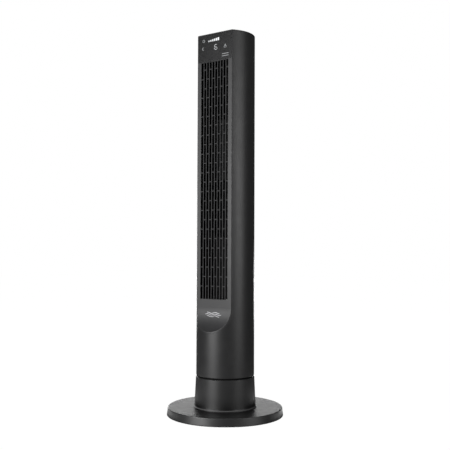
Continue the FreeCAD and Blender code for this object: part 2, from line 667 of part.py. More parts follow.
def front_fascia():
    """Flat front with the scoop below, a window for the grille, a seat for the panel and snap hooks."""
    corner_x = math.sqrt(COLUMN_R**2 - FLAT**2)
    blank = fillet_where(
        fascia_blank(), 0.9,
        lambda edge, p: abs(abs(p.x) - corner_x) < 0.4 and abs(p.y + FLAT) < 0.3 and edge.Length > 400,
    )
    details = [part for side in SIDES for z in HOOK_LEVELS for part in fascia_hook(side, z)]
    details += [stake((x, -FLAT + WALL - 0.3, z), (x, DISPLAY_BOARD_Y, z), (x, DISPLAY_BOARD_Y + BOARD_T, z))
                for x, z in DISPLAY_STAKES]
    window = block(-GRILLE_HALF_W, GRILLE_HALF_W, -60, -40, GRILLE_Z0, GRILLE_Z1)
    seat = block(-60, 60, -60, -FLAT + PANEL_T, PANEL_Z0 - SNUG, HEIGHT + 5)
    return without(fused([blank] + details), [window, seat] + light_shapes(-60, -FLAT + WALL + 0.5, SNUG))


def tapered_slot(x, low, high, front_y, back_y):
    """Slot tool that widens from the front to the back."""
    def outline(y, half_w, rise):
        corners = [Vector(x - half_w, y, low - rise), Vector(x + half_w, y, low - rise),
                   Vector(x + half_w, y, high + rise), Vector(x - half_w, y, high + rise)]
        return Part.makePolygon(corners + corners[:1])

    front = outline(front_y, SLOT_FRONT_W / 2, 0.0)
    back = outline(back_y, SLOT_BACK_W / 2, SLOT_BACK_RISE)
    return Part.makeLoft([front, back], True, True)


def front_grille():
    """Ten columns of tapered slots with staggered bridges, on a flange behind the fascia."""
    front_y = -FLAT + GRILLE_SET_BACK
    back_y = front_y + GRILLE_T
    flange_y = -FLAT + WALL
    half_w, lip = GRILLE_HALF_W, GRILLE_LIP
    face = block(-half_w + SNUG, half_w - SNUG, front_y, flange_y + 0.2, GRILLE_Z0 + SNUG, GRILLE_Z1 - SNUG)
    flange = block(-half_w - lip, half_w + lip, flange_y, back_y, GRILLE_Z0 - lip, GRILLE_Z1 + lip)
    slots = []
    for column in range(SLOT_COLUMNS):
        x = (column - (SLOT_COLUMNS - 1) / 2) * SLOT_PITCH
        first = BRIDGE_FIRST + BRIDGE_PITCH / 2 * (column % 2)
        bridges = [first + BRIDGE_PITCH * i for i in range(BRIDGES)]
        lows = [GRILLE_Z0 + SLOT_BORDER] + [z + BRIDGE_H / 2 for z in bridges]
        highs = [z - BRIDGE_H / 2 for z in bridges] + [GRILLE_Z1 - SLOT_BORDER]
        slots += [tapered_slot(x, low, high, front_y - 0.5, back_y + 0.5) for low, high in zip(lows, highs)]
    return without(fused([face, flange]), slots)


# ---------------------------------------------------------------- display
BAR_COUNT = 6
BAR_PITCH = 5.6
BAR_W = 4.3
BAR_MIDDLE_X = -3.4
BAR_Z = 894.3              # foot of the bars
BAR_FIRST_H = 3.2
BAR_STEP = 0.75
DIGIT_X = 2.8
DIGIT_Z = 873.4            # middle of the lowest stroke
DIGIT_H = 11.4
DIGIT_W = 7.2
STROKE = 1.6
STROKE_GAP = 0.35
SIX = ((0, 0), (0, 1), (1, 0))   # upright strokes of the figure 6: side, level


def bar_shapes(y0, y1, grow):
    """Six upright bars of rising height."""
    made = []
    for i in range(BAR_COUNT):
        x = BAR_MIDDLE_X + (i - (BAR_COUNT - 1) / 2) * BAR_PITCH
        top = BAR_Z + BAR_FIRST_H + BAR_STEP * i
        made.append(block(x - BAR_W / 2 - grow, x + BAR_W / 2 + grow, y0, y1, BAR_Z - grow, top + grow))
    return made


def digit_shapes(y0, y1, grow):
    """Strokes of one seven-segment figure that shows 6."""
    half_w, half_h, trim = DIGIT_W / 2, DIGIT_H / 2, STROKE / 2 + STROKE_GAP - grow
    half = STROKE / 2 + grow
    made = []
    for level in (0, 1, 2):
        z = DIGIT_Z + level * half_h
        made.append(block(DIGIT_X - half_w + trim, DIGIT_X + half_w - trim, y0, y1, z - half, z + half))
    for side, level in SIX:
        x = DIGIT_X + (2 * side - 1) * half_w
        z = DIGIT_Z + level * half_h
        made.append(block(x - half, x + half, y0, y1, z + trim, z + half_h - trim))
    return made


def light_shapes(y0, y1, grow):
    return bar_shapes(y0, y1, grow) + digit_shapes(y0, y1, grow)


def display_panel():
    """Dark lens over the top of the fascia, with openings for the lights."""
    lens = front_layer(0.0, PANEL_T).common(cylinder(COLUMN_R - 0.15, PANEL_Z0, CAP_Z - SEAM))
    lens = fillet_where(lens, 0.5, lambda edge, p: abs(p.y + FLAT) < 0.01 and edge.Length > 20)
    return without(lens, light_shapes(-60, -40, 0.04))


def display_lights():
    """Light pipes of the six bars and of the figure, flush with the lens and reaching its board."""
    return Part.makeCompound(light_shapes(-FLAT + 0.05, DISPLAY_BOARD_Y, 0.0))


def display_board():
    """Circuit board behind the display panel, with its driver chip."""
    far = DISPLAY_BOARD_Y + BOARD_T
    board = block(-40, 40, DISPLAY_BOARD_Y, far, 859, 901)
    chip = block(-8, 8, far, far + 2, 862, 872)
    holes = [rod(1.25, (x, -60, z), (x, -40, z)) for x, z in DISPLAY_STAKES]
    return without(fused([board, chip]), holes)


# ---------------------------------------------------------------- badge
BADGE_X = 0.0
BADGE_Z = 242.6
BADGE_W = 46.0
BADGE_RAISED = 0.4
WAVE_LENGTH = 23.0
WAVE_HEIGHT = 1.3
WAVE_STROKE = 1.3
WAVE_SPACING = 3.9


def wave_stroke(row):
    """One wavy stroke, cut out of a block in front of the fascia; the outer rows are shorter."""
    half = BADGE_W / 2 - abs(row) * 5.0
    steps = 24
    upper, lower = [], []
    for i in range(steps + 1):
        along = -half + 2 * half * i / steps
        z = BADGE_Z + row * WAVE_SPACING + WAVE_HEIGHT * math.sin(2 * math.pi * along / WAVE_LENGTH)
        upper.append(Vector(BADGE_X + along, -60, z + WAVE_STROKE / 2))
        lower.append(Vector(BADGE_X + along, -60, z - WAVE_STROKE / 2))
    top, bottom = Part.BSplineCurve(), Part.BSplineCurve()
    top.interpolate(upper)
    bottom.interpolate(lower)
    outline = Part.Wire([
        top.toShape(), Part.LineSegment(upper[-1], lower[-1]).toShape(),
        bottom.toShape(), Part.LineSegment(lower[0], upper[0]).toShape(),
    ])
    return Part.Face(outline).extrude(Vector(0, 20, 0))


def badge():
    """Three short wavy strokes that stand for moving air, raised from the scoop."""
    skin = front_layer(-BADGE_RAISED, BADGE_RAISED).common(block(-40, 40, -60, -40, 225, 260))
    return Part.makeCompound([wave_stroke(row).common(skin) for row in (-1, 0, 1)])


# ---------------------------------------------------------------- top cap, buttons, boards
BUTTONS = {"timer_button": -30.0, "mode_button": -15.0, "power_button": 0.0,
           "speed_button": 15.0, "swing_button": 30.0}
BUTTON_Y = -20.0
BUTTON_R = 5.2
POWER_BUTTON_R = 6.4
BUTTON_CLEARANCE = 0.35
BUTTON_TOP = HEIGHT - 0.4
DISH_DEPTH = 1.0
DISH_HALF_W = 12.0
BUTTON_BOARD_Z = 902.0
BUTTON_BOARD_TOP = BUTTON_BOARD_Z + BOARD_T
CAP_STAKES = [(x, y) for x in (-38.0, 38.0) for y in (-31.0, -9.0)]


def button_radius(name):
    return POWER_BUTTON_R if name == "power_button" else BUTTON_R


def top_cap():
    """Lid with a rounded edge, a shallow dish with five button holes, and an inner skirt."""
    lid = column_section(CAP_Z, HEIGHT)
    lid = fillet_where(lid, 1.0, lambda edge, p: abs(p.z - HEIGHT) < 0.01)
    skirt = column_section(CAP_Z - 5, CAP_Z, WALL + SNUG)
    skirt = skirt.cut(column_section(CAP_Z - 6, CAP_Z + 1, WALL + 1.7))
    stakes = [stake((x, y, CAP_Z + 0.5), (x, y, BUTTON_BOARD_TOP), (x, y, BUTTON_BOARD_Z))
              for x, y in CAP_STAKES]
    floor, end_x = HEIGHT - DISH_DEPTH, max(BUTTONS.values())
    dish = [block(-end_x, end_x, BUTTON_Y - DISH_HALF_W, BUTTON_Y + DISH_HALF_W, floor, HEIGHT + 1)]
    dish += [cylinder(DISH_HALF_W, floor, HEIGHT + 1, side * end_x, BUTTON_Y) for side in SIDES]
    holes = [cylinder(button_radius(name) + BUTTON_CLEARANCE, CAP_Z - 1, HEIGHT + 1, x, BUTTON_Y)
             for name, x in BUTTONS.items()]
    return without(fused([lid, skirt] + stakes), [fused(dish)] + holes)


def button(name):
    """Round key with a collar that keeps it under the lid, and a stem down to its switch."""
    radius, x = button_radius(name), BUTTONS[name]
    collar_top = CAP_Z - 0.4
    key = cylinder(radius, collar_top - 1.4, BUTTON_TOP, x, BUTTON_Y)
    key = fillet_where(key, 0.6, lambda edge, p: abs(p.z - BUTTON_TOP) < 0.01)
    collar = cylinder(radius + 1.0, collar_top - 1.4, collar_top, x, BUTTON_Y)
    stem = cylinder(1.8, BUTTON_BOARD_TOP + 4.0, collar_top - 1.0, x, BUTTON_Y)
    return fused([key, collar, stem])


def button_board():
    """Circuit board under the buttons."""
    board = block(-43, 43, -35, -5, BUTTON_BOARD_Z, BUTTON_BOARD_TOP)
    return without(board, [cylinder(1.25, 900, 906, x, y) for x, y in CAP_STAKES])


def tact_switches():
    """Five small switches, one under each button."""
    z, half = BUTTON_BOARD_TOP, 3.0
    bodies = [
        fused([block(x - half, x + half, BUTTON_Y - half, BUTTON_Y + half, z, z + 2.4),
               cylinder(1.7, z, z + 3.1, x, BUTTON_Y)])
        for x in BUTTONS.values()
    ]
    return Part.makeCompound(bodies)


# ---------------------------------------------------------------- blower
BLADE_R = 38.0
BLADE_INNER_R = 29.5
BLADE_TIP_LEAN_DEG = 12.0
BLADES = 28
BLADE_T = 1.3
DISC_T = 2.2
HUB_R = 11.0
AXLE_BOSS_R = 9.0
AXLE_SEAT_H = 6.0
BUSH_OUTER_R = 6.5
BUSH_H = 7.0
TOP_RUBBER_R = 9.5
TOP_BEARING_Z0 = DUCT_ROOF_Z - 1.5


def blade_face(z):
    """Thin curved blade outline at the height z, leaning forward at its tip."""
    def station(radius, degrees, offset):
        x, y = polar(radius, degrees)
        across = Vector(*polar(1.0, degrees + 90), 0)
        return Vector(x, y, z) + across * offset

    middle_r = (BLADE_R + BLADE_INNER_R) / 2
    stations = [(BLADE_INNER_R, 0.0), (middle_r, BLADE_TIP_LEAN_DEG / 4), (BLADE_R - 0.4, BLADE_TIP_LEAN_DEG)]
    one = [station(r, a, BLADE_T / 2) for r, a in stations]
    other = [station(r, a, -BLADE_T / 2) for r, a in stations]
    return Part.Face(Part.Wire([
        Part.Arc(*one).toShape(), Part.LineSegment(one[-1], other[-1]).toShape(),
        Part.Arc(*reversed(other)).toShape(), Part.LineSegment(other[0], one[0]).toShape(),
    ]))


def impeller_segment(index):
    """One moulding of the blower: a disc with a ring of blades that stand on it."""
    z = ROTOR_Z0 + index * SEGMENT_H
    disc = ring(BLADE_R, HUB_R + SNUG / 2, z, z + DISC_T)
    blade = blade_face(z + DISC_T - 0.2).extrude(Vector(0, 0, SEGMENT_H - DISC_T + 0.2))
    blades = []
    for i in range(BLADES):
        turned = blade.copy()
        turned.rotate(Vector(0, 0, 0), Vector(0, 0, 1), 360.0 * (i + index / 2) / BLADES)
        blades.append(turned)
    segment = disc.multiFuse(blades)
    segment.translate(Vector(0, SPIN_Y, 0))
    return segment


def impeller_end_disc():
    """Disc that closes the blower's top and holds its axle."""
    disc = cylinder(BLADE_R, ROTOR_Z1, ROTOR_Z1 + DISC_T, 0, SPIN_Y)
    boss = cylinder(AXLE_BOSS_R, ROTOR_Z1 - AXLE_SEAT_H, ROTOR_Z1 + DISC_T, 0, SPIN_Y)
    return fused([disc, boss]).cut(cylinder(SHAFT_R + 0.01, ROTOR_Z1 - 10, ROTOR_Z1 + 10, 0, SPIN_Y))


def impeller_axle():
    """Steel pin at the top of the blower."""
    return cylinder(SHAFT_R, ROTOR_Z1 - AXLE_SEAT_H, TOP_BEARING_Z0 + BUSH_H + 1, 0, SPIN_Y)


def impeller_hub():
    """Hub that holds the lowest segment on the motor's shaft."""
    hub = fused([cylinder(HUB_R, ROTOR_Z0 - 6, ROTOR_Z0 + 9, 0, SPIN_Y),
                 cylinder(HUB_R + 3, ROTOR_Z0 - 2.4, ROTOR_Z0, 0, SPIN_Y)])
    return hub.cut(cylinder(SHAFT_R + 0.01, ROTOR_Z0 - 10, ROTOR_Z0 + 20, 0, SPIN_Y))


# ---------------------------------------------------------------- main motor
MOTOR_R = 38.0
MOTOR_WALL = 1.6
MOTOR_Z0 = 178.0
MOTOR_Z1 = 236.0
STACK_Z0 = 197.0
STACK_Z1 = 217.0
STATOR_BORE_R = 21.4
STATOR_SLOTS = 16
COIL_H = 10.0
LUG_CIRCLE_R = MOTOR_R + 6.5
LUG_ANGLES = (90, 210, 330)
LUG_Z0 = 231.5
LUG_Z1 = 234.0


def lug_places():
    """XY places of the motor's three lugs."""
    places = [polar(LUG_CIRCLE_R, a) for a in LUG_ANGLES]
    return [(x, y + SPIN_Y) for x, y in places]


def motor_cup(closed_z, open_z):
    """Pressed cup with a bearing seat and a ring of cooling holes in its closed end."""
    low, high = min(closed_z, open_z), max(closed_z, open_z)
    inward = 1 if open_z > closed_z else -1
    cup = cylinder(MOTOR_R, low, high, 0, SPIN_Y)
    cup = fillet_where(cup, 4.0, lambda edge, p: abs(p.z - closed_z) < 0.1 and edge.Length > 100)
    floor_z = closed_z + inward * MOTOR_WALL
    hollow = sorted((floor_z, open_z + inward))
    cup = cup.cut(cylinder(MOTOR_R - MOTOR_WALL, *hollow, 0, SPIN_Y))
    seat_end = closed_z + inward * (BUSH_H + 1)
    seat = cylinder(BUSH_OUTER_R + 2.5, min(closed_z, seat_end), max(closed_z, seat_end), 0, SPIN_Y)
    holes = [cylinder(BUSH_OUTER_R + SNUG / 2, low - 1, high + 1, 0, SPIN_Y)]
    for i in range(8):
        x, y = polar(23.0, 45 * i + 22.5)
        holes.append(cylinder(4.0, min(closed_z, floor_z) - 1, max(closed_z, floor_z) + 1, x, y + SPIN_Y))
    return without(fused([cup, seat]), holes)


def motor_lower_cover():
    return motor_cup(MOTOR_Z0, STACK_Z0)


def motor_upper_cover():
    """Upper cup with three lugs for the grommets."""
    lugs = []
    for a, (x, y) in zip(LUG_ANGLES, lug_places()):
        arm = block(-5.5, 5.5, MOTOR_R - 1, LUG_CIRCLE_R, LUG_Z0, LUG_Z1)
        arm.rotate(Vector(0, 0, 0), Vector(0, 0, 1), a - 90)
        arm.translate(Vector(0, SPIN_Y, 0))
        lugs += [arm, cylinder(5.5, LUG_Z0, LUG_Z1, x, y)]
    inside = cylinder(MOTOR_R - MOTOR_WALL, 200, LUG_Z1, 0, SPIN_Y)
    holes = [cylinder(CLEARANCE_HOLE_R + 0.05, 220, 240, x, y) for x, y in lug_places()]
    return without(fused([motor_cup(MOTOR_Z1, STACK_Z1), fused(lugs).cut(inside)]), holes)


def motor_stator():
    """Laminated core with slots that open towards the rotor."""
    core = ring(MOTOR_R, STATOR_BORE_R, STACK_Z0, STACK_Z1, 0, SPIN_Y)
    slots = []
    for i in range(STATOR_SLOTS):
        mouth = block(20, 25, -1.0, 1.0, STACK_Z0 - 5, STACK_Z1 + 5)
        room = block(24, 32, -2.5, 2.5, STACK_Z0 - 5, STACK_Z1 + 5)
        slot = fused([mouth, room])
        slot.rotate(Vector(0, 0, 0), Vector(0, 0, 1), 360.0 * i / STATOR_SLOTS)
        slot.translate(Vector(0, SPIN_Y, 0))
        slots.append(slot)
    return without(core, slots)


def motor_windings():
    """Copper coil ends above and below the core."""
    coils = []
    for z0, z1, free_z in ((STACK_Z0 - COIL_H, STACK_Z0, STACK_Z0 - COIL_H),
                           (STACK_Z1, STACK_Z1 + COIL_H, STACK_Z1 + COIL_H)):
        coil = ring(34.0, 23.5, z0, z1, 0, SPIN_Y)
        coils.append(fillet_where(coil, 3.0, lambda edge, p, end=free_z: abs(p.z - end) < 0.1))
    return Part.makeCompound(coils)


def motor_rotor():
    return ring(STATOR_BORE_R - 0.6, SHAFT_R + 0.01, STACK_Z0, STACK_Z1, 0, SPIN_Y)


def motor_shaft():
    return cylinder(SHAFT_R, MOTOR_Z0 - 3, ROTOR_Z0 + 9, 0, SPIN_Y)


def shaft_bushes():
    """Three sintered bushes: two in the motor's covers and one above the blower."""
    levels = (MOTOR_Z0 + 0.2, MOTOR_Z1 - BUSH_H - 0.2, TOP_BEARING_Z0)
    bushes = [ring(BUSH_OUTER_R, SHAFT_R + RUNNING, z, z + BUSH_H, 0, SPIN_Y) for z in levels]
    return Part.makeCompound(bushes)


def motor_grommets():
    """Three rubber grommets between the motor and its bracket."""
    return Part.makeCompound(
        [ring(6.0, CLEARANCE_HOLE_R + 0.05, LUG_Z1, MOTOR_BRACKET_Z, x, y) for x, y in lug_places()]
    )


def motor_screws():
    """Three long screws through the bracket and the grommets into the motor's lugs."""
    top = MOTOR_BRACKET_Z + BRACKET_T
    return Part.makeCompound([
        fused([cylinder(4.2, top, top + 2.6, x, y), cylinder(2.0, LUG_Z0 - 2.5, top + 1, x, y)])
        for x, y in lug_places()
    ])


# ---------------------------------------------------------------- plates across the column
BRACKET_T = 3.0
DUCT_FLOOR_T = 2.5
DUCT_ROOF_T = 4.0
LOOM_R = 2.5
LOOM_X = 57.0
LOOM_Y = -22.0


def column_plate(z0, thickness, hole_r):
    """Plate across the column behind the fascia, with a hole for the shaft and one for the wires."""
    z1 = z0 + thickness
    plate = cylinder(COLUMN_R - WALL - SNUG, z0, z1).cut(space_in_front(WALL + SNUG))
    tongue_room = [block(side * 60, side * 70, SPLIT_Y - 4, SPLIT_Y + 4, z0 - 1, z1 + 1) for side in SIDES]
    shaft_hole = cylinder(hole_r, z0 - 1, z1 + 1, 0, SPIN_Y)
    loom_hole = cylinder(LOOM_R + 1.5, z0 - 1, z1 + 1, LOOM_X, LOOM_Y)
    return without(plate, [shaft_hole, loom_hole] + tongue_room)


def motor_bracket():
    """Plate that the motor hangs from."""
    plate = column_plate(MOTOR_BRACKET_Z, BRACKET_T, 13.0)
    return without(plate, [cylinder(CLEARANCE_HOLE_R + 0.2, 230, 250, x, y) for x, y in lug_places()])


def duct_floor():
    return column_plate(DUCT_FLOOR_Z, DUCT_FLOOR_T, HUB_R + 4.5)


def duct_roof():
    """Top plate of the duct, which also holds the blower's top bearing."""
    return column_plate(DUCT_ROOF_Z, DUCT_ROOF_T, TOP_RUBBER_R + SNUG / 2)


def top_bearing_rubber():
    return ring(TOP_RUBBER_R, BUSH_OUTER_R + SNUG / 2, TOP_BEARING_Z0, TOP_BEARING_Z0 + BUSH_H, 0, SPIN_Y)


# ---------------------------------------------------------------- air duct
DUCT_WALL_T = 1.8
DUCT_Z0 = DUCT_FLOOR_Z + DUCT_FLOOR_T
DUCT_FRONT_X = 43.4
DUCT_FRONT_Y = -FLAT + GRILLE_SET_BACK + GRILLE_T + 0.2
SCROLL_START_DEG = 44.0
SCROLL_END_DEG = -18.0
SCROLL_GAP = 2.6           # between the blades and the scroll where it starts
SCROLL_GROWTH = 2.4
TONGUE_DEG = 212.0


def clear_of_ledge(wall):
    """Duct wall notched where the housings' ledge under the roof passes."""
    inner = COLUMN_R - WALL
    return wall.cut(ring(COLUMN_R, inner - LEDGE_W - SNUG, DUCT_ROOF_Z - LEDGE_H - SNUG, DUCT_ROOF_Z + 1))


def volute_wall():
    """Scroll on the right of the blower, from the intake's edge round to the outlet."""
    steps = 12
    path = [(42.4, 50.2), (37.0, 40.0)]
    for i in range(steps + 1):
        x, y = polar(BLADE_R + SCROLL_GAP + SCROLL_GROWTH * i / steps,
                     SCROLL_START_DEG + (SCROLL_END_DEG - SCROLL_START_DEG) * i / steps)
        path.append((x, y + SPIN_Y))
    path += [(DUCT_FRONT_X - 0.2, -20.0), (DUCT_FRONT_X, DUCT_FRONT_Y)]
    return clear_of_ledge(thick_path(path, DUCT_WALL_T, DUCT_Z0, DUCT_ROOF_Z))


def vortex_wall():
    """Tongue on the left of the blower, which divides the intake from the outlet."""
    x, y = polar(BLADE_R + 3.4, TONGUE_DEG)
    y += SPIN_Y
    path = [(-DUCT_FRONT_X, DUCT_FRONT_Y), (-42.4, -28.0), (x - 1.5, y - 3.0), (x, y),
            (x - 4.5, y + 2.6), (-64.2, -14.0)]
    return clear_of_ledge(thick_path(path, DUCT_WALL_T, DUCT_Z0, DUCT_ROOF_Z))


# ---------------------------------------------------------------- electrics
def run_capacitor():
    """Capacitor of the motor's second winding, stood on the turntable."""
    body = block(19, 45, -6, 12, TURNTABLE_Z1, TURNTABLE_Z1 + 30)
    return body.makeFillet(1.2, body.Edges)


def power_board():
    """Main circuit board behind the swing motor, with its relay, fuse, choke and terminals."""
    face = POWER_BOARD_Y
    board = block(-28, 28, face, face + BOARD_T, 112, 170)
    relay = block(-22, -7, face - 12, face, 120, 134)
    terminals = block(4, 26, face - 10, face, 126, 136)
    fuse = rod(3, (-20, face - 2.6, 152), (0, face - 2.6, 152))
    choke = rod(7, (14, face - 9, 146), (14, face, 146))
    holes = [rod(1.25, (x, 40, z), (x, 60, z)) for x, z in POWER_BOARD_STAKES]
    return without(fused([board, relay, terminals, fuse, choke]), holes)


def wiring_loom():
    """Sleeved wires from the power board up beside the duct to the display board."""
    board_back = DISPLAY_BOARD_Y + BOARD_T
    return swept([
        (20, POWER_BOARD_Y, 160), (20, 37, 160), (44, 12, 156), (LOOM_X, LOOM_Y, 182), (LOOM_X, LOOM_Y, 866),
        (46, -33, 884), (34, -35, 890), (34, board_back, 890),
    ], LOOM_R)


# ---------------------------------------------------------------- all the pieces
PIECES = (
    base_cover, base_weight, base_bottom_plate, rubber_feet, base_screws,
    neck_shell, cord_gland, pivot_plate, pivot_bush, slide_ring, swing_gear,
    swing_pinion, swing_motor, turntable, pivot_tube, retaining_ring,
    front_housing, rear_housing, column_screws, rear_grille, carry_handle,
    front_fascia, front_grille, display_panel, display_lights, display_board, badge,
    top_cap, button_board, tact_switches,
    impeller_end_disc, impeller_axle, impeller_hub, motor_shaft, motor_rotor,
    motor_lower_cover, motor_upper_cover, motor_stator, motor_windings,
    shaft_bushes, top_bearing_rubber, motor_bracket, motor_grommets, motor_screws,
    duct_floor, duct_roof, volute_wall, vortex_wall,
    run_capacitor, power_board, wiring_loom,
)


def all_nodes():
    """Every node's name and shape: each piece's function gives its name."""
    nodes = {make.__name__: make() for make in PIECES}
    for index in range(SEGMENTS):
        nodes[f"impeller_segment_{index + 1}"] = impeller_segment(index)
    for name in BUTTONS:
        nodes[name] = button(name)
    return nodes


def export(nodes):
    """Writes one STEP per node and prints what each holds."""
    os.makedirs("parts", exist_ok=True)
    for name, shape in nodes.items():
        solids = shape.Solids
        if not solids or not all(s.isValid() and s.Volume > 0 for s in solids):
            raise ValueError(f"{name} holds no valid solid")
        whole = solids[0] if len(solids) == 1 else Part.makeCompound(solids)
        whole.exportStep(f"parts/{name}.step")
        print(f"{name}: {len(solids)} solid(s), {len(whole.Faces)} faces, {whole.Volume / 1000:.2f} cm3")


export(all_nodes())
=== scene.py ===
import json
import math

import bmesh
import bpy
from mathutils import Matrix, Vector


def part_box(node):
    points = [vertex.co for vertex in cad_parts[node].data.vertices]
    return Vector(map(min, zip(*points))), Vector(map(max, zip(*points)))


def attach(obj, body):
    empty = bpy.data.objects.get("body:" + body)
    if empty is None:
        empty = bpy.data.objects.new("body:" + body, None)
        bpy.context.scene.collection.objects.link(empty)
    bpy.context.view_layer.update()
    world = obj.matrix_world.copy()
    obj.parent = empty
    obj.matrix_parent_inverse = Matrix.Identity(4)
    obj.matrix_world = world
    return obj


# The looks of the tower fan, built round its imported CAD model. Metres, +Z up, the fan blows towards -Y.

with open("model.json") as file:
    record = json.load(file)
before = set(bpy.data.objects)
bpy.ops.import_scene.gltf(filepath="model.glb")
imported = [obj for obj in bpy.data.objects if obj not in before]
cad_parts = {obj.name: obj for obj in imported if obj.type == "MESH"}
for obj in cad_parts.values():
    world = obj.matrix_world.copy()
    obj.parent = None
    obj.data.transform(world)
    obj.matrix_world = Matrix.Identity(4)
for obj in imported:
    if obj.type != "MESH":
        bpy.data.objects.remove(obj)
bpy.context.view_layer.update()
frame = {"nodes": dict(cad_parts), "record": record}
nodes = frame["nodes"]
scene = bpy.context.scene
MM = 0.001


# ---------------------------------------------------------------- camera
CAMERA_DISTANCE = 1.791            # level distance from the column's axis
CAMERA_HEIGHT = 0.391
CAMERA_AZIMUTH = math.radians(35.22)
CAMERA_YAW = math.radians(-0.057)
CAMERA_PITCH = math.radians(2.06)
CAMERA_ROLL = math.radians(0.23)
CAMERA_LENS = 59.2
CAMERA_SENSOR = 36.0
CAMERA_REACH = 60.0


def add_camera():
    data = bpy.data.cameras.new("camera")
    data.sensor_width = CAMERA_SENSOR
    data.lens = CAMERA_LENS
    data.clip_end = CAMERA_REACH
    camera = bpy.data.objects.new("camera", data)
    scene.collection.objects.link(camera)
    turn = Matrix.Rotation(CAMERA_AZIMUTH, 4, "Z")
    look = Matrix.Rotation(-CAMERA_YAW, 4, "Z") @ Matrix.Rotation(math.pi / 2 + CAMERA_PITCH, 4, "X")
    place = Matrix.Translation((0, -CAMERA_DISTANCE, CAMERA_HEIGHT))
    camera.matrix_world = turn @ place @ look @ Matrix.Rotation(CAMERA_ROLL, 4, "Z")
    scene.camera = camera


# ---------------------------------------------------------------- materials
BODY_COLOR = (0.022, 0.022, 0.0225)
LIP_HIGHLIGHT = 3.4              # how much lighter the painted highlight along the neck's lip is
LIP_BLEND = 0.4 * MM         # how softly that painted highlight begins and ends
SLOT_SHADE = 0.02            # share of its colour that the grille keeps inside its slots, a painted shade
SLOT_DEPTHS = (0.2 * MM, 0.9 * MM)  # where that painted shade begins and is complete
FIGURE_GLOW = 0.42           # emission of the figure
BAR_GLOW = (0.42, 0.86)      # emission of the first and the last bar
BARS_TO_FIGURE = (9 * MM, 11 * MM)  # the gap between them, below the top of the bars
FINE_GRAIN = 3500            # spark-eroded grain of moulded plastic, features per metre
GRAIN_DEPTH = 6e-6
SOFT_EDGE = 0.25 * MM        # radius by which moulded edges look rounded
NOISE_SPAN = (0.3, 0.7)      # most of a noise's values lie between these


class Shader:
    """A material's node tree with short calls for the nodes that the materials share."""

    def __init__(self, name, color, roughness, metallic=0.0, specular=0.5):
        self.material = bpy.data.materials.new(name)
        self.material.use_nodes = True
        self.tree = self.material.node_tree
        self.surface = self.tree.nodes["Principled BSDF"]
        self.color = (*color, 1.0)
        self.roughness = roughness
        self.surface.inputs["Base Color"].default_value = self.color
        self.surface.inputs["Roughness"].default_value = roughness
        self.surface.inputs["Metallic"].default_value = metallic
        self.surface.inputs["Specular IOR Level"].default_value = specular
        self.place = self.node("ShaderNodeTexCoord").outputs["Object"]

    def node(self, kind, **settings):
        made = self.tree.nodes.new(kind)
        for key, value in settings.items():
            setattr(made, key, value)
        return made

    def link(self, output, node, socket):
        self.tree.links.new(output, node.inputs[socket])

    def noise(self, scale, detail=2.0, stretch=(1, 1, 1)):
        """Noise over the object's own coordinates; scale is features per metre."""
        mapping = self.node("ShaderNodeMapping")
        mapping.inputs["Scale"].default_value = stretch
        self.link(self.place, mapping, "Vector")
        noise = self.node("ShaderNodeTexNoise")
        noise.inputs["Scale"].default_value = scale
        noise.inputs["Detail"].default_value = detail
        self.link(mapping.outputs["Vector"], noise, "Vector")
        return noise.outputs["Fac"]

    def between(self, factor, low, high):
        """Maps the middle of a noise onto a range."""
        span = self.node("ShaderNodeMapRange")
        span.inputs["From Min"].default_value = NOISE_SPAN[0]
        span.inputs["From Max"].default_value = NOISE_SPAN[1]
        span.inputs["To Min"].default_value = low
        span.inputs["To Max"].default_value = high
        self.link(factor, span, "Value")
        return span.outputs["Result"]

    def along(self, axis):
        """Distance along one of the object's axes, or from its upright axis."""
        if axis == "RADIUS":
            level = self.node("ShaderNodeVectorMath", operation="MULTIPLY")
            level.inputs[1].default_value = (1, 1, 0)
            self.link(self.place, level, 0)
            length = self.node("ShaderNodeVectorMath", operation="LENGTH")
            self.link(level.outputs["Vector"], length, 0)
            return length.outputs["Value"]
        parts = self.node("ShaderNodeSeparateXYZ")
        self.link(self.place, parts, "Vector")
        return parts.outputs[axis]

    def ramp(self, axis, low, high, value_low, value_high):
        """Smooth change of a value between two places along an axis."""
        span = self.node("ShaderNodeMapRange", interpolation_type="SMOOTHSTEP")
        span.inputs["From Min"].default_value = low
        span.inputs["From Max"].default_value = high
        span.inputs["To Min"].default_value = value_low
        span.inputs["To Max"].default_value = value_high
        self.link(self.along(axis), span, "Value")
        return span.outputs["Result"]

    def mottle(self, scale, amount, stretch=(1, 1, 1)):
        """Slow variation of the colour, by that share each way."""
        mix = self.node("ShaderNodeMix", data_type="RGBA")
        mix.inputs["A"].default_value = (*[c * (1 - amount) for c in self.color[:3]], 1)
        mix.inputs["B"].default_value = (*[c * (1 + amount) for c in self.color[:3]], 1)
        self.link(self.between(self.noise(scale, stretch=stretch), 0, 1), mix, "Factor")
        self.link(mix.outputs["Result"], self.surface, "Base Color")

    def uneven_gloss(self, scale, amount, stretch=(1, 1, 1)):
        """Slow variation of the roughness."""
        factor = self.noise(scale, detail=3.0, stretch=stretch)
        level = self.between(factor, self.roughness - amount, self.roughness + amount)
        self.link(level, self.surface, "Roughness")

    def relief(self, scale, depth, edge=0.0, stretch=(1, 1, 1), detail=2.0):
        """Fine moulded or ground texture of that depth, and edges that look rounded by the radius edge."""
        bump = self.node("ShaderNodeBump")
        bump.inputs["Strength"].default_value = 1.0
        bump.inputs["Distance"].default_value = depth
        self.link(self.noise(scale, detail, stretch), bump, "Height")
        if edge:
            bevel = self.node("ShaderNodeBevel", samples=6)
            bevel.inputs["Radius"].default_value = edge
            self.link(bevel.outputs["Normal"], bump, "Normal")
        self.link(bump.outputs["Normal"], self.surface, "Normal")


